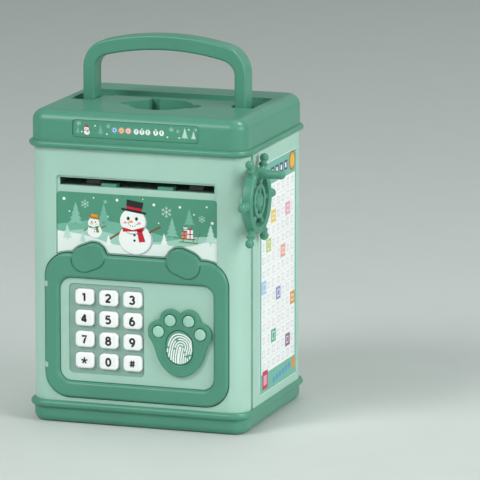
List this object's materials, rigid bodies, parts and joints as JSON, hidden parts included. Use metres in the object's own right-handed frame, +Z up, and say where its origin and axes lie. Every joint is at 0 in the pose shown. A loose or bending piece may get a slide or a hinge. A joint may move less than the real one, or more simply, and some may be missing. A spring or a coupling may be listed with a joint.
{
  "type": "electronic money safe",
  "caption": "Box-shaped electronic savings bank with keypad door, bill slot, coin slot in the lid, folding carry handle and side wheel knob.",
  "frame": {"origin": "centre of the plinth's underside, on the surface it stands on", "axes": "+Z up, -Y towards the front with the keypad door, +X to the viewer's right, where the wheel knob is"},
  "size_m": [0.1633, 0.1386, 0.2328],
  "materials": {
    "dark_green": "satin moulded ABS, dark sea green",
    "pale_green": "satin moulded ABS, pale mint green",
    "cell_jacket": "shrink film on a dry cell",
    "steel": "bright steel",
    "black_plastic": "black moulded plastic",
    "board": "green circuit board",
    "printed_film": "printed vinyl film",
    "printed_chart": "printed vinyl film, mostly white",
    "white_plastic": "white acetal",
    "rubber": "black rubber",
    "rubber_mat": "grey silicone",
    "light_lens": "translucent pale green lens",
    "pad_plastic": "smooth plastic with white printed ridges",
    "key_white": "white keycap plastic with a black printed legend"
  },
  "bodies": {
    "case": {"base_tray": "dark_green", "battery_cover": "dark_green", "battery_cells": "cell_jacket", "battery_contacts": "steel", "speaker": "black_plastic", "main_board": "board", "cash_floor": "pale_green", "case_screws": "steel", "rear_case": "pale_green", "front_frame": "pale_green", "front_sticker": "printed_film", "side_label_right": "printed_chart", "side_label_left": "printed_chart", "lid": "dark_green", "lid_label": "printed_film", "coin_funnel": "dark_green", "handle_pins": "steel", "bill_guide": "dark_green", "bill_cradle": "pale_green", "feed_motor": "steel", "hinge_pins": "steel", "latch_housing": "black_plastic", "latch_motor": "steel"},
    "handle": {"handle": "dark_green"},
    "door": {"door_frame": "dark_green", "door_panel": "pale_green", "door_back": "pale_green", "door_strike": "steel", "key_mat": "rubber_mat", "keypad_board": "board", "paw_cover": "dark_green", "toe_lights": "light_lens"},
    "helm": {"helm_wheel": "dark_green", "crank_peg": "dark_green", "helm_clip": "steel"},
    "feed_roller": {"drive_shaft": "steel", "drive_gear": "white_plastic", "drive_tyres": "rubber"},
    "idler": {"idler_rollers": "white_plastic"},
    "pinion": {"motor_pinion": "white_plastic"},
    "latch": {"latch_bolt": "steel"},
    "switch": {"power_switch": "black_plastic"},
    "finger_button": {"finger_pad": "pad_plastic"},
    "key_1": {"key_1": "key_white"},
    "key_2": {"key_2": "key_white"},
    "key_3": {"key_3": "key_white"},
    "key_4": {"key_4": "key_white"},
    "key_5": {"key_5": "key_white"},
    "key_6": {"key_6": "key_white"},
    "key_7": {"key_7": "key_white"},
    "key_8": {"key_8": "key_white"},
    "key_9": {"key_9": "key_white"},
    "key_star": {"key_star": "key_white"},
    "key_0": {"key_0": "key_white"},
    "key_hash": {"key_hash": "key_white"}
  },
  "joints": [
    {"name": "handle_fold", "type": "hinge", "parent": "case", "child": "handle", "pos_m": [0, 0, 0.1858], "axis": [-1, 0, 0], "range_deg": [0, 62]},
    {"name": "door_swing", "type": "hinge", "parent": "case", "child": "door", "pos_m": [-0.0571, -0.0575, 0.06095], "axis": [0, 0, -1], "range_deg": [0, 90]},
    {"name": "helm_spin", "type": "hinge", "parent": "case", "child": "helm", "pos_m": [0.0712, -0.0484, 0.143], "axis": [1, 0, 0], "continuous": true},
    {"name": "feed_spin", "type": "hinge", "parent": "case", "child": "feed_roller", "pos_m": [0, -0.038, 0.156], "axis": [1, 0, 0], "continuous": true},
    {"name": "idler_spin", "type": "hinge", "parent": "case", "child": "idler", "pos_m": [0, -0.038, 0.1432], "axis": [1, 0, 0], "continuous": true},
    {"name": "pinion_spin", "type": "hinge", "parent": "case", "child": "pinion", "pos_m": [-0.0565, -0.02472, 0.15956], "axis": [1, 0, 0], "continuous": true},
    {"name": "latch_slide", "type": "slide", "parent": "case", "child": "latch", "axis": [-1, 0, 0], "range_m": [0, 0.005]},
    {"name": "switch_slide", "type": "slide", "parent": "case", "child": "switch", "axis": [1, 0, 0], "range_m": [0, 0.004]},
    {"name": "finger_press", "type": "slide", "parent": "door", "child": "finger_button", "axis": [0, 1, 0], "range_m": [0, 0.0008], "stiffness_N_per_m": 800},
    {"name": "press_1", "type": "slide", "parent": "door", "child": "key_1", "axis": [0, 1, 0], "range_m": [0, 0.0012], "stiffness_N_per_m": 700},
    {"name": "press_2", "type": "slide", "parent": "door", "child": "key_2", "axis": [0, 1, 0], "range_m": [0, 0.0012], "stiffness_N_per_m": 700},
    {"name": "press_3", "type": "slide", "parent": "door", "child": "key_3", "axis": [0, 1, 0], "range_m": [0, 0.0012], "stiffness_N_per_m": 700},
    {"name": "press_4", "type": "slide", "parent": "door", "child": "key_4", "axis": [0, 1, 0], "range_m": [0, 0.0012], "stiffness_N_per_m": 700},
    {"name": "press_5", "type": "slide", "parent": "door", "child": "key_5", "axis": [0, 1, 0], "range_m": [0, 0.0012], "stiffness_N_per_m": 700},
    {"name": "press_6", "type": "slide", "parent": "door", "child": "key_6", "axis": [0, 1, 0], "range_m": [0, 0.0012], "stiffness_N_per_m": 700},
    {"name": "press_7", "type": "slide", "parent": "door", "child": "key_7", "axis": [0, 1, 0], "range_m": [0, 0.0012], "stiffness_N_per_m": 700},
    {"name": "press_8", "type": "slide", "parent": "door", "child": "key_8", "axis": [0, 1, 0], "range_m": [0, 0.0012], "stiffness_N_per_m": 700},
    {"name": "press_9", "type": "slide", "parent": "door", "child": "key_9", "axis": [0, 1, 0], "range_m": [0, 0.0012], "stiffness_N_per_m": 700},
    {"name": "press_star", "type": "slide", "parent": "door", "child": "key_star", "axis": [0, 1, 0], "range_m": [0, 0.0012], "stiffness_N_per_m": 700},
    {"name": "press_0", "type": "slide", "parent": "door", "child": "key_0", "axis": [0, 1, 0], "range_m": [0, 0.0012], "stiffness_N_per_m": 700},
    {"name": "press_hash", "type": "slide", "parent": "door", "child": "key_hash", "axis": [0, 1, 0], "range_m": [0, 0.0012], "stiffness_N_per_m": 700}
  ],
  "couplings": [
    {"joint": "idler_spin", "follows": "feed_spin", "ratio": -1.1852},
    {"joint": "pinion_spin", "follows": "feed_spin", "ratio": -2.4}
  ]
}
